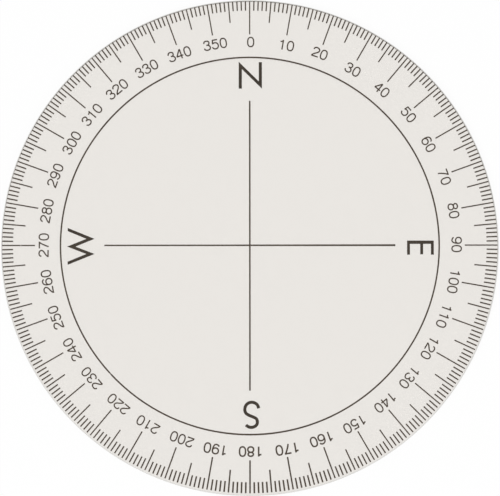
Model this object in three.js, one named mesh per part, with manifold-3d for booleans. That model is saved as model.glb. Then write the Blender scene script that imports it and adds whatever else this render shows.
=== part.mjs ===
// Full circle protractor: a clear plastic disc with a printed degree scale.
// Millimetres. The disc lies on its underside and +Z comes out of its printed face.
// Bearing 0 (north) is +Y and bearings run clockwise, so bearing 90 (east) is +X.
import * as THREE from 'three';
import { mergeGeometries, mergeVertices } from 'three/addons/utils/BufferGeometryUtils.js';
import Module from 'manifold-3d';

// Disc
const discDiameter = 101.6;
const discThickness = 1.5;
const bevelWidth = 0.2; // how far the bevel of each edge reaches in from the rim
const bevelHeight = 0.35; // and how far it reaches down, or up, the side

// Print
const inkThickness = 0.05; // height of the ink above the plastic
const lineWidth = 0.27; // every mark, the scale circle and the cross share one pen width
const printShift = 0.29; // the print sits this far north of the disc's own centre
const edgeClearance = 0.02; // bare plastic between a trimmed mark and the bevel

// Degree scale, measured inwards from the rim
const markMargin = 0.23; // rim to the outer end of a full mark
const oneDegreeLength = 2.24;
const fiveDegreeLength = 4.6;
const tenDegreeLength = 6.7;
const zeroMarkLength = 7.15; // the mark at bearing 0 is a little longer than its fellows
const scaleBandWidth = 12.15; // rim to the middle of the scale circle
const crossEndGap = 8.95; // scale circle to each end of the cross, where the compass letters stand

// Counts and steps
const fullCircleDegrees = 360;
const middleStep = 5; // every fifth mark is longer
const numberedStep = 10; // every tenth mark is the longest, and has a number
const rimSegments = 180;

// Derived sizes
const discRadius = discDiameter / 2;
const flatRadius = discRadius - bevelWidth;
const printableRadius = flatRadius - edgeClearance;
const markOuterRadius = discRadius - markMargin;
const scaleCircleRadius = discRadius - scaleBandWidth;
const crossHalfLength = scaleCircleRadius - crossEndGap;
const inkTop = discThickness + inkThickness;
const inkRoot = discThickness - inkThickness; // how deep a fused mark reaches into the plastic

// Finishes
const clearPlastic = { color: 0xeae7e2, roughness: 0.12, metalness: 0, transparent: true, opacity: 0.45 };
const printInk = { color: 0x403a34, roughness: 0.5, metalness: 0 };

const wasm = await Module();
wasm.setup();

// A closed geometry as a solid that can be joined to others.
function solidOf(geometry) {
  geometry.deleteAttribute('normal');
  geometry.deleteAttribute('uv');
  const welded = mergeVertices(geometry);
  return new wasm.Manifold(new wasm.Mesh({
    numProp: 3,
    vertProperties: new Float32Array(welded.attributes.position.array),
    triVerts: new Uint32Array(welded.index.array),
  }));
}

function geometryOf(solid) {
  const { vertProperties, triVerts } = solid.getMesh();
  const geometry = new THREE.BufferGeometry();
  geometry.setAttribute('position', new THREE.BufferAttribute(vertProperties, 3));
  geometry.setIndex(new THREE.BufferAttribute(triVerts, 1));
  geometry.computeVertexNormals();
  return geometry;
}

// A turned form: pairs of radius and height, spun about the Z axis.
function revolve(profile) {
  const points = profile.map(([radius, height]) => new THREE.Vector2(radius, height));
  return new THREE.LatheGeometry(points, rimSegments).rotateX(Math.PI / 2);
}

// The bare disc: flat on both sides, with a steep narrow bevel on both edges of its rim.
function discBlank() {
  return revolve([
    [0, 0],
    [flatRadius, 0],
    [discRadius, bevelHeight],
    [discRadius, discThickness - bevelHeight],
    [flatRadius, discThickness],
    [0, discThickness],
  ]);
}

function isNumbered(degree) {
  return degree % numberedStep === 0;
}

function markLength(degree) {
  if (degree === 0) return zeroMarkLength;
  if (isNumbered(degree)) return tenDegreeLength;
  if (degree % middleStep === 0) return fiveDegreeLength;
  return oneDegreeLength;
}

// Distance from the print's centre, along a bearing, to the end of the printable flat.
function reachAlong(bearing) {
  const shiftAlong = printShift * Math.cos(bearing);
  return Math.sqrt(shiftAlong ** 2 + printableRadius ** 2 - printShift ** 2) - shiftAlong;
}

// One radial mark about the print's centre, trimmed where the printable flat ends.
function degreeMark(degree, foot) {
  const bearing = THREE.MathUtils.degToRad(degree);
  const innerEnd = markOuterRadius - markLength(degree);
  const outerEnd = Math.min(markOuterRadius, reachAlong(bearing));
  const mark = new THREE.BoxGeometry(lineWidth, outerEnd - innerEnd, inkTop - foot);
  return mark.translate(0, (innerEnd + outerEnd) / 2, (foot + inkTop) / 2).rotateZ(-bearing);
}

// The disc with its unnumbered marks. They are hundreds of separate islands of ink, so
// they are one body with the plastic that carries them.
function graduatedDisc() {
  const degrees = Array.from({ length: fullCircleDegrees }, (_, degree) => degree);
  const marks = degrees.filter((degree) => !isNumbered(degree))
    .map((degree) => degreeMark(degree, inkRoot));
  const scale = mergeGeometries(marks).translate(0, printShift, 0);
  return geometryOf(solidOf(discBlank()).add(solidOf(scale)));
}

// The printed circle that closes the scale on its inner side.
function scaleCircle() {
  const inner = scaleCircleRadius - lineWidth / 2;
  const outer = scaleCircleRadius + lineWidth / 2;
  return revolve([
    [inner, discThickness],
    [outer, discThickness],
    [outer, inkTop],
    [inner, inkTop],
    [inner, discThickness],
  ]);
}

// The printed cross that marks the centre, with its arms along the four main bearings.
function centreCross() {
  const side = lineWidth / 2;
  const end = crossHalfLength;
  const outline = new THREE.Shape([
    [side, side], [side, end], [-side, end], [-side, side],
    [-end, side], [-end, -side], [-side, -side], [-side, -end],
    [side, -end], [side, -side], [end, -side], [end, side],
  ].map(([x, y]) => new THREE.Vector2(x, y)));
  const cross = new THREE.ExtrudeGeometry(outline, { depth: inkThickness, bevelEnabled: false });
  return cross.translate(0, 0, discThickness);
}

function piece(name, geometry, finish) {
  const mesh = new THREE.Mesh(geometry, new THREE.MeshStandardMaterial(finish));
  mesh.name = name;
  return mesh;
}

const protractor = new THREE.Group();
protractor.add(piece('protractor_disc', graduatedDisc(), clearPlastic));

// The ink that lies on the plastic, about its own centre.
const print = new THREE.Group();
print.position.y = printShift;
print.add(piece('scale_circle', scaleCircle(), printInk));
print.add(piece('centre_cross', centreCross(), printInk));
for (let degree = 0; degree < fullCircleDegrees; degree += numberedStep) {
  const bearingName = String(degree).padStart(3, '0');
  print.add(piece(`mark_${bearingName}`, degreeMark(degree, discThickness), printInk));
}
protractor.add(print);

export default protractor;
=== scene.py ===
import math

import bpy
import numpy as np
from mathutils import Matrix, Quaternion, Vector, noise
from mathutils.geometry import delaunay_2d_cdt


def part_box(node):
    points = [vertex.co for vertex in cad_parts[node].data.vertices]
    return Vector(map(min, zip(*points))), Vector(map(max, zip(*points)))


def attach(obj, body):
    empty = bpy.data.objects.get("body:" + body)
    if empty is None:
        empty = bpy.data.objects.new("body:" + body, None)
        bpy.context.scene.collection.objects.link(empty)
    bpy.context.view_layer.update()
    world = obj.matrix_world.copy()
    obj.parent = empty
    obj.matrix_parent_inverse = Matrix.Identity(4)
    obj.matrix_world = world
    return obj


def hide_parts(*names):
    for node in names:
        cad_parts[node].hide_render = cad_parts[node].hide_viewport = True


# Full circle protractor: a clear plastic disc and the ink of its degree scale.
# Metres. Bearing 0 (north) is +Y, and bearings run clockwise as seen from above.
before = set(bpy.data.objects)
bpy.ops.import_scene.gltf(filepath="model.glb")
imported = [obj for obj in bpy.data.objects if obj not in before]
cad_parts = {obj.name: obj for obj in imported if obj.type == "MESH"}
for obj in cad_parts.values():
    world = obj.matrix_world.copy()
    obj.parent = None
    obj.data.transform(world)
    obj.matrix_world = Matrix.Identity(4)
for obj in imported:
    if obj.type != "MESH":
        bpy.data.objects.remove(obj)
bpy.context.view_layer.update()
mm = 0.001

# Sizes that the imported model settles
discLow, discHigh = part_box("protractor_disc")
circleLow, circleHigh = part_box("scale_circle")
crossLow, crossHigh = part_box("centre_cross")
northLow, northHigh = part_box("mark_000")
southLow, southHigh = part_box("mark_180")

discRadius = (discHigh.x - discLow.x) / 2
faceHeight = northLow.z  # the printed face of the disc
inkTop = northHigh.z
penWidth = northHigh.x - northLow.x
printCentre = ((circleLow + circleHigh) / 2).xy  # a little north of the disc's own centre
circleRadius = (circleHigh.x - circleLow.x - penWidth) / 2
crossReach = (crossHigh.x - crossLow.x) / 2
markOuterRadius = printCentre.y - southLow.y
markInnerRadius = printCentre.y - southHigh.y
zeroInnerRadius = northLow.y - printCentre.y
print("packed model loaded")


# Shader nodes

class Wire:
    # One shader socket. Sums on it add Math nodes, and node() adds any other node.
    def __init__(self, tree, socket=None):
        self.tree = tree
        self.socket = socket

    def feed(self, socket, value):
        if isinstance(value, Wire):
            self.tree.links.new(value.socket, socket)
        else:
            socket.default_value = value

    def node(self, kind, settings=None, inputs=None, output=0):
        made = self.tree.nodes.new(kind)
        for name, value in (settings or {}).items():
            setattr(made, name, value)
        for name, value in (inputs or {}).items():
            self.feed(made.inputs[name], value)
        return Wire(self.tree, made.outputs[output] if len(made.outputs) else None)

    def beside(self, output):  # another output of the same node
        return Wire(self.tree, self.socket.node.outputs[output])

    def maths(self, operation, first, second):
        return self.node("ShaderNodeMath", {"operation": operation}, {0: first, 1: second})

    def __add__(self, other):
        return self.maths("ADD", self, other)

    def __radd__(self, other):
        return self.maths("ADD", other, self)

    def __sub__(self, other):
        return self.maths("SUBTRACT", self, other)

    def __rsub__(self, other):
        return self.maths("SUBTRACT", other, self)

    def __mul__(self, other):
        return self.maths("MULTIPLY", self, other)

    def __rmul__(self, other):
        return self.maths("MULTIPLY", other, self)

    def __pow__(self, other):
        return self.maths("POWER", self, other)

    def larger(self, other):
        return self.maths("MAXIMUM", self, other)

    def ramp(self, low, high):  # 0 below low, 1 above high
        places = {"From Min": low, "From Max": high}
        return self.node("ShaderNodeMapRange", {"clamp": True}, {"Value": self, **places})

    def blend(self, first, second):  # first colour where this is 0, second where it is 1
        return self.node("ShaderNodeMix", {"data_type": "RGBA"}, {0: self, 6: first, 7: second}, 2)


def newMaterial(name):
    material = bpy.data.materials.new(name)
    material.use_nodes = True
    material.node_tree.nodes.clear()
    return material, Wire(material.node_tree)


def grain(wire, place, perMetre, detail=2.0, roughness=0.5):
    sizes = {"Vector": place, "Scale": perMetre, "Detail": detail, "Roughness": roughness}
    return wire.node("ShaderNodeTexNoise", {"noise_dimensions": "3D"}, sizes)


def hairlines(wire, place, angle, look):
    # Noise drawn out along one direction, of which only the highest crests are kept
    stretch = (1 / look["hairLength"], 1 / look["hairSpacing"], 1.0)
    turn = {"Vector": place, "Rotation": (0, 0, angle)}
    along = wire.node("ShaderNodeMapping", {"vector_type": "TEXTURE"}, turn)
    drawn = wire.node("ShaderNodeMapping", {}, {"Vector": along, "Scale": stretch})
    return grain(wire, drawn, 1.0, 0.0).ramp(look["hairFrom"], look["hairTo"])


# Finishes

plasticLook = {
    # The plastic's own warm tint, darkened further by painted shade: it stands in for the shadow the
    # disc casts on the floor beneath it, which the floor's white never shows through the disc
    "tint": (0.869, 0.842, 0.806, 1.0),
    "refraction": 1.49,
    "polish": 0.015,
    "wornPolish": 0.06,
    "smudgePerMetre": 45,
    "smudgeFrom": 0.45,
    "smudgeTo": 0.75,
    "smudgeWear": 0.4,  # how much of the wear comes from the smudges
    "scratchWear": 0.6,  # and from the hairline scratches
    "hairLength": 9 * mm,
    "hairSpacing": 0.22 * mm,
    "hairFrom": 0.74,
    "hairTo": 0.86,
    "hairAngles": (0.35, 1.3, 2.45),
    "hairDepth": 0.0015 * mm,
    "absorbColour": (0.62, 0.60, 0.55, 1.0),
    "absorbPerMetre": 60.0,
    # The rim is sawn, so it is satin where the faces are clear
    "cutReach": (0.24 * mm, 0.20 * mm),  # in from the edge, to where the satin starts and is full
    "cutShare": 0.85,  # the rest of the rim stays clear
    "cutDark": (0.63, 0.615, 0.592, 1.0),
    "cutLight": (0.74, 0.725, 0.70, 1.0),
    "cutRoughness": 0.35,
    "sawRoughness": 0.3,  # added where the saw marks are palest
    "sawPerMetre": 4500,
    "sawStretch": 0.12,  # the marks run up the side
    "sawFrom": 0.3,
    "sawTo": 0.7,
}


def sawnRim(wire, place, look):
    # The satin finish of the rim, and how much of it shows at each place
    east = wire.node("ShaderNodeSeparateXYZ", {}, {"Vector": place})
    north = east.beside("Y")
    radius = (east * east + north * north) ** 0.5
    start, full = (discRadius - reach for reach in look["cutReach"])
    shown = radius.ramp(start, full) * look["cutShare"]
    upright = {"Vector": place, "Scale": (1.0, 1.0, look["sawStretch"])}
    sawMarks = grain(wire, wire.node("ShaderNodeMapping", {}, upright), look["sawPerMetre"])
    pale = sawMarks.ramp(look["sawFrom"], look["sawTo"])
    satin = wire.node("ShaderNodeBsdfPrincipled", {}, {
        "Base Color": pale.blend(look["cutDark"], look["cutLight"]),
        "Roughness": look["cutRoughness"] + sawMarks * look["sawRoughness"],
    })
    return satin, shown


def clearPlastic(look):
    material, wire = newMaterial("clear_plastic")
    place = wire.node("ShaderNodeTexCoord", output="Object")
    scratches = 0.0
    for angle in look["hairAngles"]:
        scratches = scratches + hairlines(wire, place, angle, look)
    smudges = grain(wire, place, look["smudgePerMetre"]).ramp(look["smudgeFrom"], look["smudgeTo"])
    wear = (smudges * look["smudgeWear"] + scratches * look["scratchWear"]).ramp(0.0, 1.0)
    normal = wire.node("ShaderNodeBump", {}, {"Height": 1 - scratches, "Distance": look["hairDepth"]})
    shader = wire.node("ShaderNodeBsdfPrincipled", {}, {
        # Base Color: the plastic's tint together with the painted shade of the floor beneath
        "Base Color": look["tint"],
        "Roughness": look["polish"] + wear * (look["wornPolish"] - look["polish"]),
        "IOR": look["refraction"],
        "Transmission Weight": 1.0,
        "Normal": normal,
    })
    soak = {"Color": look["absorbColour"], "Density": look["absorbPerMetre"]}
    inside = wire.node("ShaderNodeVolumeAbsorption", {}, soak)
    satin, shown = sawnRim(wire, place, look)
    surface = wire.node("ShaderNodeMixShader", {}, {0: shown, 1: shader, 2: satin})
    wire.node("ShaderNodeOutputMaterial", {}, {"Surface": surface, "Volume": inside})
    return material


inkLook = {
    "dense": (0.032, 0.0235, 0.0155, 1.0),
    "thin": (0.056, 0.043, 0.031, 1.0),
    "fineDense": (0.055, 0.0385, 0.026, 1.0),  # fine lines take less ink than the bold letters
    "fineThin": (0.08, 0.059, 0.042, 1.0),
    "boldFrom": (29 * mm, 31 * mm),  # the letters lie between these rings about the print's centre
    "boldTo": (38.1 * mm, 38.3 * mm),
    "patchPerMetre": 260,
    "patchDetail": 3.0,
    "patchFrom": 0.35,
    "patchTo": 0.7,
    "patchShare": 0.6,  # how much of the ink's thinness comes from the patches
    "meshPerMetre": 9000,
    "meshDetail": 1.0,
    "meshFrom": 0.5,
    "meshTo": 0.8,
    "meshShare": 0.4,  # and from the mesh of the printing screen
    "specular": 0.25,
    "smooth": 0.42,
    "dry": 0.62,
    "grainDepth": 0.004 * mm,
}


def printInk(look):
    material, wire = newMaterial("print_ink")
    place = wire.node("ShaderNodeTexCoord", output="Object")
    patches = grain(wire, place, look["patchPerMetre"], look["patchDetail"])
    patches = patches.ramp(look["patchFrom"], look["patchTo"]) * look["patchShare"]
    mesh = grain(wire, place, look["meshPerMetre"], look["meshDetail"])
    openings = mesh.ramp(look["meshFrom"], look["meshTo"]) * look["meshShare"]
    thinness = (patches + openings).ramp(0.0, 1.0)
    middle = {0: place, 1: (*printCentre, faceHeight)}
    radius = wire.node("ShaderNodeVectorMath", {"operation": "DISTANCE"}, middle, 1)
    bold = radius.ramp(*look["boldFrom"]) * (1 - radius.ramp(*look["boldTo"]))
    fineColour = thinness.blend(look["fineDense"], look["fineThin"])
    boldColour = thinness.blend(look["dense"], look["thin"])
    shader = wire.node("ShaderNodeBsdfPrincipled", {}, {
        "Base Color": bold.blend(fineColour, boldColour),
        "Roughness": look["smooth"] + thinness * (look["dry"] - look["smooth"]),
        "Specular IOR Level": look["specular"],
        "Normal": wire.node("ShaderNodeBump", {}, {"Height": mesh, "Distance": look["grainDepth"]}),
    })
    wire.node("ShaderNodeOutputMaterial", {}, {"Surface": shader})
    return material


plastic = clearPlastic(plasticLook)
ink = printInk(inkLook)
print("finishes mixed")


# The disc

discShape = {
    "segments": 720,
    "bevelWidth": 0.2 * mm,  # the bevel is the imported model's
    "bevelHeight": 0.35 * mm,
    "softening": 0.03 * mm,  # how far each corner of the rim is rubbed back
    "softSteps": 4,
}


def newPiece(name, points, faces, material, slot, *nodes):
    mesh = bpy.data.meshes.new(name)
    mesh.from_pydata(points, [], faces)
    mesh.materials.append(material)
    mesh.update()
    made = bpy.data.objects.new(name, mesh)
    bpy.context.scene.collection.objects.link(made)
    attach(made, "root")
    if nodes:
        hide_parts(*nodes)
    print(name, len(faces), "faces")
    return made


def rimProfile(shape):
    # Radius and height of the bevelled rim from the underside up, with its corners softened
    flat = discRadius - shape["bevelWidth"]
    corners = [(0, 0), (flat, 0), (discRadius, shape["bevelHeight"])]
    corners += [(radius, faceHeight - height) for radius, height in reversed(corners)]
    corners = [Vector(corner) for corner in corners]
    profile = []
    for before, corner, after in zip(corners, corners[1:], corners[2:]):
        start = corner + (before - corner).normalized() * shape["softening"]
        end = corner + (after - corner).normalized() * shape["softening"]
        for step in range(shape["softSteps"] + 1):
            share = step / shape["softSteps"]
            profile.append(start.lerp(corner, share).lerp(corner.lerp(end, share), share))
    return profile


def makeDisc(shape):
    profile = rimProfile(shape)
    segments = shape["segments"]
    points = []
    for radius, height in profile:
        for step in range(segments):
            angle = 2 * math.pi * step / segments
            points.append((radius * math.cos(angle), radius * math.sin(angle), height))
    faces = []
    for ring in range(len(profile) - 1):
        for step in range(segments):
            after = (step + 1) % segments
            low, high = ring * segments, (ring + 1) * segments
            faces.append((low + step, low + after, high + after, high + step))
    sideCount = len(faces)
    topStart = (len(profile) - 1) * segments
    faces.append(tuple(range(topStart, topStart + segments)))
    faces.append(tuple(reversed(range(segments))))
    disc = newPiece("clear_disc", points, faces, plastic, "clear_plastic", "protractor_disc")
    for face in disc.data.polygons[:sideCount]:
        face.use_smooth = True
    return disc


makeDisc(discShape)


# Ink on the disc

inkShape = {
    "footDepth": 0.01 * mm,  # how far the ink keys into the plastic
    "shoulder": 0.015 * mm,  # softened upper edge of the ink
    "waver": 0.007 * mm,  # how far a printed edge strays
    "waverPerMetre": 3500,
    "waverLayer": 0.5,  # height at which the noise is read
    "sharpest": 0.2,  # keeps the pointed corners from running far inwards
    "weld": 1e-5,  # mm, between points that become one
    "step": 0.16 * mm,  # spacing of the points along a printed edge
    "pressureSpread": 20.0,  # degrees on each side of a bearing that printed heavily or lightly
}


def nearness(degree, bearing):
    # 1 at the bearing, and 0 far from it
    away = (degree - bearing + 180) % 360 - 180
    return np.exp(-(away / inkShape["pressureSpread"]) ** 2)


def ladder(line, width, closed=False):
    # Both sides of a stroke along a line of points, with a quad for each step
    line = np.array(line, float)
    if closed:
        ahead = np.roll(line, -1, axis=0) - np.roll(line, 1, axis=0)
    else:
        ahead = np.gradient(line, axis=0)
    ahead /= np.linalg.norm(ahead, axis=1)[:, None]
    side = np.stack([-ahead[:, 1], ahead[:, 0]], axis=1) * np.reshape(width, (-1, 1)) / 2
    count = len(line)
    faces = []
    for step in range(count if closed else count - 1):
        after = (step + 1) % count
        faces.append((count + step, count + after, after, step))
    return np.concatenate([line + side, line - side]), faces


def steppedLine(start, end):
    # Points from start to end at the spacing of a printed edge
    start, end = np.array(start, float), np.array(end, float)
    count = max(2, round(np.linalg.norm(end - start) / inkShape["step"]) + 1)
    return start + np.linspace(0, 1, count)[:, None] * (end - start)


def gather(parts):
    # Several outlines, each its points and faces, as one
    points, faces = [], []
    for partPoints, partFaces in parts:
        faces += [tuple(index + len(points) for index in face) for face in partFaces]
        points += [tuple(point) for point in partPoints]
    return np.array(points), faces


def unite(parts):
    # Crossing outlines as one flat area; a triangle that comes from no part is a hole
    points, faces = gather(parts)
    scaled = [Vector(point) for point in points / mm]
    result = delaunay_2d_cdt(scaled, [], faces, 1, inkShape["weld"])
    united, _, triangles, _, _, sources = result
    kept = [tuple(face) for face, source in zip(triangles, sources) if source]
    return np.array([tuple(point) for point in united]) * mm, kept


def borderSteps(faces):
    # The border of a flat area: each border point with the next one, area on the left
    sides = {(face[i - 1], face[i]) for face in faces for i in range(len(face))}
    return {first: second for first, second in sides if (second, first) not in sides}


def layInk(name, outline, *nodes):
    # A flat outline as a thin closed body of ink, keyed into the face of the disc
    points, faces = outline
    after = borderSteps(faces)
    before = {second: first for first, second in after.items()}
    border = list(after)
    ahead = points[[after[index] for index in border]] - points[border]
    behind = points[border] - points[[before[index] for index in border]]
    ahead /= np.linalg.norm(ahead, axis=1)[:, None]
    behind /= np.linalg.norm(behind, axis=1)[:, None]
    course = ahead + behind
    inward = np.stack([-course[:, 1], course[:, 0]], axis=1)
    inward /= np.maximum(np.linalg.norm(inward, axis=1), inkShape["sharpest"])[:, None]

    points = points.copy()
    layer = inkShape["waverLayer"]
    spots = points[border] * inkShape["waverPerMetre"]
    waver = [noise.noise(Vector((*spot, layer))) for spot in spots]  # mostly within half a unit
    points[border] += inward * np.reshape(waver, (-1, 1)) * 2 * inkShape["waver"]
    top = points.copy()
    top[border] += inward * inkShape["shoulder"]

    foot = faceHeight - inkShape["footDepth"]
    shoulder = inkTop - inkShape["shoulder"]
    levels = [(points, foot), (points[border], shoulder), (top, inkTop)]
    solid = [(x, y, height) for flat, height in levels for x, y in flat]
    order = {index: count for count, index in enumerate(border)}
    shoulderStart, topStart = len(points), len(points) + len(border)
    made = [tuple(reversed(face)) for face in faces]
    made += [tuple(index + topStart for index in face) for face in faces]
    for first, second in after.items():
        low, high = shoulderStart + order[first], shoulderStart + order[second]
        made.append((first, second, high, low))
        made.append((low, high, second + topStart, first + topStart))
    return newPiece(name, solid, made, ink, "ink", *nodes)


def bearingAxes(degree):
    # Unit vectors outwards and clockwise at a bearing
    angle = math.radians(degree)
    outward = np.array((math.sin(angle), math.cos(angle)))
    return outward, np.array((outward[1], -outward[0]))


def atBearing(outline, degree, shift=(0.0, 0.0)):
    # An outline drawn clockwise and outwards, turned to its bearing about the print's centre
    outward, clockwise = bearingAxes(degree)
    points, faces = outline
    centre = np.array(printCentre) + shift
    return centre + points[:, :1] * clockwise + points[:, 1:] * outward, faces


# Degree scale

scaleShape = {
    "fullCircle": 360,
    "middleStep": 5,
    "numberedStep": 10,
    "oneDegreeLength": 2.24 * mm,
    "fiveDegreeLength": 4.6 * mm,
    "edgeClearance": 0.02 * mm,  # bare plastic between a trimmed mark and the bevel
    "skips": {270: (46.7 * mm, 46.79 * mm)},  # where the pen skipped, from the print's centre
    "shortShare": 1.03,  # printed width of a one degree mark as a share of the pen's
    "longShare": 0.97,  # and of the longer marks
    "heavyBearing": 178.0,
    "markHeavyShare": 0.24,  # how much wider a mark is where the dial printed heavily
    "lightBearing": 0.0,
    "markLightShare": 0.04,  # and how much narrower where it printed lightly
    "circleHeavyShare": 0.08,
    "circleSpread": 0.0245 * mm,  # how far the circle's ink ran to each side of the pen's width
    "thinBearing": 227.3,  # the circle thins out at one place
    "thinSpread": 0.25,  # degrees
    "thinShare": 0.55,
    "crossSpread": 0.0255 * mm,  # and how far the cross's ink ran
    "crossWest": 0.92,  # the arm from west to east grows heavier on its way
    "crossEast": 1.19,
}


def reachAlong(degree, shape):
    # From the print's centre to the end of the printable flat
    rim = discRadius - discShape["bevelWidth"] - shape["edgeClearance"]
    north = printCentre.y * math.cos(math.radians(degree))
    return math.sqrt(north ** 2 + rim ** 2 - printCentre.y ** 2) - north


def markInnerEnd(degree, shape):
    if degree == 0:
        return zeroInnerRadius  # a little longer than its fellows
    if degree % shape["numberedStep"] == 0:
        return markInnerRadius
    if degree % shape["middleStep"] == 0:
        return markOuterRadius - shape["fiveDegreeLength"]
    return markOuterRadius - shape["oneDegreeLength"]


def degreeMark(degree, shape):
    ends = [markInnerEnd(degree, shape), min(markOuterRadius, reachAlong(degree, shape))]
    ends[1:1] = shape["skips"].get(degree, ())
    width = penWidth * shape["shortShare" if degree % shape["middleStep"] else "longShare"]
    width *= 1 + shape["markHeavyShare"] * nearness(degree, shape["heavyBearing"])
    width *= 1 - shape["markLightShare"] * nearness(degree, shape["lightBearing"])
    strokes = []
    for start, end in zip(ends[::2], ends[1::2]):
        strokes.append(atBearing(ladder(steppedLine((0, start), (0, end)), width), degree))
    return gather(strokes)


def layMarks(name, degrees, shape, *nodes):
    layInk(name, gather([degreeMark(degree, shape) for degree in degrees]), *nodes)


def makeDegreeMarks(shape):
    numbered = range(0, shape["fullCircle"], shape["numberedStep"])
    middle = range(0, shape["fullCircle"], shape["middleStep"])
    single = range(shape["fullCircle"])
    nodes = [f"mark_{degree:03d}" for degree in numbered]
    layMarks("ten_degree_marks", numbered, shape, *nodes)
    layMarks("five_degree_marks", [degree for degree in middle if degree not in numbered], shape)
    layMarks("one_degree_marks", [degree for degree in single if degree not in middle], shape)


def makeScaleCircle(shape):
    count = round(2 * math.pi * circleRadius / inkShape["step"])
    angles = np.linspace(0, 2 * math.pi, count, endpoint=False)
    line = np.stack([np.cos(angles), np.sin(angles)], axis=1) * circleRadius
    bearings = np.degrees(np.pi / 2 - angles) % 360
    thin = np.exp(-((bearings - shape["thinBearing"]) / shape["thinSpread"]) ** 2)
    widths = (penWidth + 2 * shape["circleSpread"]) * (1 - (1 - shape["thinShare"]) * thin)
    widths *= 1 + shape["circleHeavyShare"] * nearness(bearings, shape["heavyBearing"])
    layInk("scale_circle_line", atBearing(ladder(line, widths, closed=True), 0), "scale_circle")


def makeCentreCross(shape):
    width = penWidth + 2 * shape["crossSpread"]
    across = steppedLine((-crossReach, 0), (crossReach, 0))
    eastward = np.linspace(0, 1, len(across)) ** 2
    widths = width * (shape["crossWest"] + (shape["crossEast"] - shape["crossWest"]) * eastward)
    arms = [ladder(across, widths), ladder(steppedLine((0, -crossReach), (0, crossReach)), width)]
    layInk("centre_cross_lines", atBearing(unite(arms), 0), "centre_cross")


makeDegreeMarks(scaleShape)
makeScaleCircle(scaleShape)
makeCentreCross(scaleShape)


# Numbers

# Strokes of each figure, as shares of its height, from the left of its cell and its foot.
# An oval is its middle, half its width, half its height and how square it is (2 is an ellipse).
figureShares = {
    "0": [("oval", (0.415, 0.493, 0.303, 0.47, 2.4))],
    "1": [
        ("line", [(0.447, 0.0), (0.447, 1.0)]),
        ("curve", [(0.17, 0.80), (0.28, 0.81), (0.37, 0.85), (0.42, 0.93)]),
    ],
    "2": [
        ("curve", [(0.10, 0.73), (0.155, 0.87), (0.27, 0.955), (0.41, 0.97), (0.57, 0.93),
                   (0.68, 0.83), (0.70, 0.72), (0.66, 0.61), (0.55, 0.49), (0.37, 0.365),
                   (0.21, 0.245), (0.11, 0.13), (0.09, 0.065)]),
        ("line", [(0.03, 0.065), (0.745, 0.065)]),
    ],
    "3": [
        ("curve", [(0.10, 0.725), (0.15, 0.87), (0.25, 0.95), (0.37, 0.97), (0.52, 0.94),
                   (0.615, 0.86), (0.635, 0.76), (0.60, 0.63), (0.50, 0.555), (0.33, 0.54)]),
        ("curve", [(0.33, 0.54), (0.47, 0.535), (0.61, 0.46), (0.69, 0.35), (0.70, 0.24),
                   (0.64, 0.12), (0.53, 0.05), (0.39, 0.025), (0.25, 0.055), (0.14, 0.13),
                   (0.085, 0.25)]),
    ],
    "4": [
        ("line", [(0.55, 0.0), (0.55, 1.0)]),
        ("line", [(0.52, 0.97), (0.08, 0.32)]),
        ("line", [(0.04, 0.30), (0.75, 0.30)]),
    ],
    "5": [
        ("line", [(0.16, 0.95), (0.68, 0.95)]),
        ("line", [(0.20, 0.99), (0.145, 0.54)]),
        ("curve", [(0.12, 0.565), (0.24, 0.63), (0.38, 0.66), (0.53, 0.63), (0.65, 0.53),
                   (0.70, 0.37), (0.67, 0.20), (0.57, 0.08), (0.40, 0.03), (0.24, 0.065),
                   (0.14, 0.15), (0.10, 0.25)]),
    ],
    "6": [
        ("oval", (0.42, 0.333, 0.30, 0.303, 2.15)),
        ("curve", [(0.70, 0.81), (0.64, 0.91), (0.54, 0.96), (0.43, 0.97), (0.30, 0.935),
                   (0.20, 0.84), (0.14, 0.70), (0.12, 0.52), (0.12, 0.333)]),
    ],
    "7": [
        ("line", [(0.08, 0.95), (0.76, 0.95)]),
        ("curve", [(0.69, 0.93), (0.56, 0.74), (0.455, 0.515), (0.36, 0.30), (0.305, 0.14),
                   (0.28, 0.0)]),
    ],
    "8": [
        ("oval", (0.414, 0.77, 0.26, 0.20, 2.15)),
        ("oval", (0.418, 0.30, 0.295, 0.27, 2.15)),
    ],
    "9": [
        ("oval", (0.404, 0.678, 0.301, 0.29, 2.15)),
        ("curve", [(0.705, 0.678), (0.70, 0.50), (0.665, 0.30), (0.60, 0.14), (0.50, 0.05),
                   (0.395, 0.025), (0.27, 0.05), (0.17, 0.11), (0.10, 0.20)]),
    ],
}

numberShape = {
    "height": 2.02 * mm,
    "stroke": 0.273 * mm,
    "heavyBearing": 174.0,
    "heavyShare": 0.23,  # how much wider a stroke is where the dial printed heavily
    "cell": 1.674 * mm,  # every figure takes the same width
    "footRadius": 41.06 * mm,
    "shift": (0.155 * mm, -0.13 * mm),  # the numbers were printed in a second pass
    "ovalSegments": 44,
    "curveSteps": 5,
    # How far each number was set clockwise and outwards of its place, in mm
    "strays": {
        0: (0.05, -0.1), 10: (0.1, -0.15), 20: (-0.15, 0.0), 30: (0.05, -0.2), 40: (0.0, -0.2),
        50: (0.15, 0.05), 60: (0.15, -0.1), 70: (0.3, 0.0), 80: (0.1, 0.0), 90: (-0.25, 0.0),
        110: (0.05, -0.1), 120: (-0.15, 0.0), 130: (-0.15, 0.0), 140: (-0.4, 0.05),
        150: (-0.1, 0.05), 160: (-0.05, -0.05), 170: (-0.15, 0.05), 180: (0.0, -0.1),
        190: (-0.15, 0.0), 200: (-0.3, -0.2), 210: (-0.1, -0.05), 220: (-0.1, -0.05),
        230: (0.15, 0.1), 240: (-0.15, 0.0), 250: (-0.15, 0.25), 260: (0.0, 0.05),
        270: (0.2, 0.15), 280: (-0.1, 0.15), 290: (0.0, 0.4), 300: (0.1, 0.2),
        310: (-0.16, 0.12), 320: (-0.19, 0.19), 330: (-0.15, 0.15), 340: (-0.15, 0.0),
        350: (0.1, 0.05),
    },
}


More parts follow.
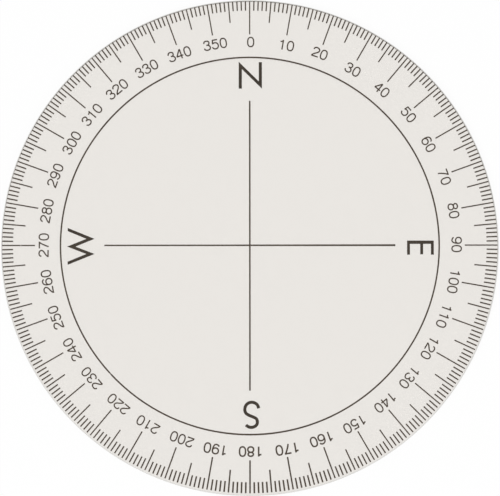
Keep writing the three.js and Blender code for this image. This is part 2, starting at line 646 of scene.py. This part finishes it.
def curveThrough(points, steps):
    # A smooth line through the points, with a number of steps between neighbours
    points = np.array(points, float)
    padded = np.concatenate([[2 * points[0] - points[1]], points, [2 * points[-1] - points[-2]]])
    line = []
    for a, b, c, d in zip(padded, padded[1:], padded[2:], padded[3:]):
        for t in np.arange(steps) / steps:
            line.append(b + (c - a) * t / 2 + (a - 2.5 * b + 2 * c - d / 2) * t ** 2
                        + (1.5 * (b - c) + (d - a) / 2) * t ** 3)
    return np.array(line + [points[-1]])


def ovalLine(middleX, middleY, halfWidth, halfHeight, squareness, segments):
    angles = np.linspace(0, 2 * math.pi, segments, endpoint=False)
    across, up = np.cos(angles), np.sin(angles)
    power = 2 / squareness
    return np.stack([
        middleX + halfWidth * np.sign(across) * abs(across) ** power,
        middleY + halfHeight * np.sign(up) * abs(up) ** power,
    ], axis=1)


def drawStroke(kind, shares, shape, left, width):
    height = shape["height"]
    if kind == "oval":
        line = ovalLine(*shares, shape["ovalSegments"])
    elif kind == "curve":
        line = curveThrough(shares, shape["curveSteps"])
    else:
        line = steppedLine(np.array(shares[0]) * height, np.array(shares[1]) * height) / height
    return ladder(line * height + (left, 0), width, closed=kind == "oval")


def drawNumber(degree, shape):
    text = str(degree)
    heavy = shape["heavyShare"] * nearness(degree, shape["heavyBearing"])
    strokes = []
    for count, figure in enumerate(text):
        left = (count - len(text) / 2) * shape["cell"]
        for kind, shares in figureShares[figure]:
            strokes.append(drawStroke(kind, shares, shape, left, shape["stroke"] * (1 + heavy)))
    points, faces = unite(strokes)
    stray = np.array(shape["strays"].get(degree, (0.0, 0.0))) * mm
    return atBearing((points + (0, shape["footRadius"]) + stray, faces), degree, shape["shift"])


def makeNumbers(shape):
    degrees = range(0, scaleShape["fullCircle"], scaleShape["numberedStep"])
    layInk("degree_numbers", gather([drawNumber(degree, shape) for degree in degrees]))


makeNumbers(numberShape)


# Compass letters

letterShape = {
    "height": 5.45 * mm,
    "stroke": 0.64 * mm,
    "footRadius": 32.2 * mm,
    "curveSteps": 5,
}

# Outlines as shares of the letter's height, clockwise and outwards from the middle of its foot
letterShares = {
    "north": [(-0.413, 0.0), (-0.294, 0.0), (-0.294, 0.741), (0.459, -0.003), (0.459, 1.003),
              (0.341, 1.003), (0.341, 0.276), (-0.413, 1.02)],
    "east": [(-0.172, -0.02), (0.358, -0.02), (0.358, 0.088), (-0.047, 0.088), (-0.047, 0.473),
             (0.345, 0.473), (0.345, 0.581), (-0.047, 0.581), (-0.047, 0.873), (0.358, 0.873),
             (0.358, 0.981), (-0.172, 0.981)],
    "west": [(-0.73, 0.914), (-0.322, -0.092), (-0.044, 0.619), (0.247, -0.092), (0.657, 0.914),
             (0.537, 0.914), (0.247, 0.216), (-0.044, 0.937), (-0.322, 0.216), (-0.61, 0.914)],
}
# The middle line of the curved letter, in the same shares
southLineShares = [(0.147, 0.82), (0.077, 0.882), (-0.048, 0.914), (-0.173, 0.882),
                   (-0.253, 0.807), (-0.278, 0.716), (-0.253, 0.617), (-0.183, 0.555),
                   (-0.048, 0.497), (0.091, 0.432), (0.167, 0.357), (0.193, 0.248),
                   (0.162, 0.112), (0.067, 0.012), (-0.063, -0.025), (-0.193, 0.007),
                   (-0.283, 0.087), (-0.325, 0.205)]


def filledOutline(corners):
    # An outline with straight sides, its border divided at the spacing of a printed edge
    border = []
    for start, end in zip(corners, corners[1:] + corners[:1]):
        border += list(steppedLine(start, end)[:-1])
    return unite([(np.array(border), [tuple(range(len(border)))])])


def makeLetters(shape):
    foot = (0, shape["footRadius"])
    for degree, name in ((0, "north"), (90, "east"), (270, "west")):
        corners = [(x * shape["height"], y * shape["height"]) for x, y in letterShares[name]]
        points, faces = filledOutline(corners)
        layInk(name + "_letter", atBearing((points + foot, faces), degree))
    line = curveThrough(southLineShares, shape["curveSteps"]) * shape["height"]
    points, faces = ladder(line, shape["stroke"])
    layInk("south_letter", atBearing((points + foot, faces), 180))


makeLetters(letterShape)


# Stage

stageShape = {
    "reach": 8.0,
    "gap": 0.05 * mm,  # between the disc's underside and the floor
    "colour": (0.96, 0.96, 0.96, 1.0),
    "whiteShare": 0.93,  # the rest of the floor's colour shows the shadow
    "whiteFrom": 0.3,  # and the floor grows plain white towards the horizon
    "whiteTo": 1.6,
    "ambient": 0.68,
    "lamps": {
        "key": {"azimuth": -38, "elevation": 52, "distance": 1.3, "size": 0.7, "power": 5.2},
        "fill": {"azimuth": 62, "elevation": 38, "distance": 1.5, "size": 0.9, "power": 2.8},
    },
}


def seenRays(wire):
    # 1 for the rays that show the background: the camera's, and those off or through gloss
    path = wire.node("ShaderNodeLightPath", output="Is Camera Ray")
    return path.larger(path.beside("Is Glossy Ray")).larger(path.beside("Is Transmission Ray"))


def makeFloor(shape):
    material, wire = newMaterial("pale_floor")
    lit = wire.node("ShaderNodeBsdfDiffuse", {}, {"Color": shape["colour"]})
    white = wire.node("ShaderNodeEmission", {}, {"Color": (1, 1, 1, 1), "Strength": 1.0})
    place = wire.node("ShaderNodeTexCoord", output="Object")
    distance = wire.node("ShaderNodeVectorMath", {"operation": "LENGTH"}, {0: place}, 1)
    away = distance.ramp(shape["whiteFrom"], shape["whiteTo"])
    shown = seenRays(wire) * (shape["whiteShare"] + away * (1 - shape["whiteShare"]))
    wire.node("ShaderNodeOutputMaterial", {}, {
        "Surface": wire.node("ShaderNodeMixShader", {}, {0: shown, 1: lit, 2: white}),
    })
    reach = shape["reach"]
    corners = [(-reach, -reach, -shape["gap"]), (reach, -reach, -shape["gap"]),
               (reach, reach, -shape["gap"]), (-reach, reach, -shape["gap"])]
    mesh = bpy.data.meshes.new("floor")
    mesh.from_pydata(corners, [], [(0, 1, 2, 3)])
    mesh.materials.append(material)
    floor = bpy.data.objects.new("floor", mesh)
    bpy.context.scene.collection.objects.link(floor)


def makeWorld(shape):
    world = bpy.data.worlds.new("studio")
    world.use_nodes = True
    world.node_tree.nodes.clear()
    wire = Wire(world.node_tree)
    seen = seenRays(wire)
    strength = seen + (1 - seen) * shape["ambient"]
    sky = wire.node("ShaderNodeBackground", {}, {"Color": (1, 1, 1, 1), "Strength": strength})
    wire.node("ShaderNodeOutputWorld", {}, {"Surface": sky})
    bpy.context.scene.world = world


def skyDirection(azimuth, elevation):
    across, up = math.radians(azimuth), math.radians(elevation)
    return Vector((math.sin(across) * math.cos(up), -math.cos(across) * math.cos(up), math.sin(up)))


def makeLamps(shape):
    for name, lamp in shape["lamps"].items():
        light = bpy.data.lights.new(name + "_lamp", "AREA")
        light.shape = "DISK"
        light.size = lamp["size"]
        light.energy = lamp["power"]
        made = bpy.data.objects.new(light.name, light)
        direction = skyDirection(lamp["azimuth"], lamp["elevation"])
        made.location = direction * lamp["distance"]
        made.rotation_euler = direction.to_track_quat("Z", "Y").to_euler()
        bpy.context.scene.collection.objects.link(made)


cameraShape = {
    "azimuth": 0.0,
    "elevation": 84.93,
    "roll": -0.048,  # degrees
    "lens": 308.6,  # mm
    "sensorWidth": 36,  # mm
    "clip": (0.05, 50),
    "distance": 874.8 * mm,
    "aim": (0.032 * mm, -0.268 * mm),  # on the printed face, from the disc's centre
}


def makeCamera(shape):
    data = bpy.data.cameras.new("camera")
    data.lens = shape["lens"]
    data.sensor_width = shape["sensorWidth"]
    data.clip_start, data.clip_end = shape["clip"]
    camera = bpy.data.objects.new("camera", data)
    back = skyDirection(shape["azimuth"], shape["elevation"])
    camera.rotation_mode = "QUATERNION"
    roll = Quaternion((0, 0, 1), math.radians(shape["roll"]))
    camera.rotation_quaternion = back.to_track_quat("Z", "Y") @ roll
    camera.location = Vector((*shape["aim"], faceHeight)) + back * shape["distance"]
    bpy.context.scene.collection.objects.link(camera)
    bpy.context.scene.camera = camera


makeFloor(stageShape)
makeWorld(stageShape)
makeLamps(stageShape)
makeCamera(cameraShape)
bpy.context.scene.view_settings.view_transform = "Standard"
print("stage set")
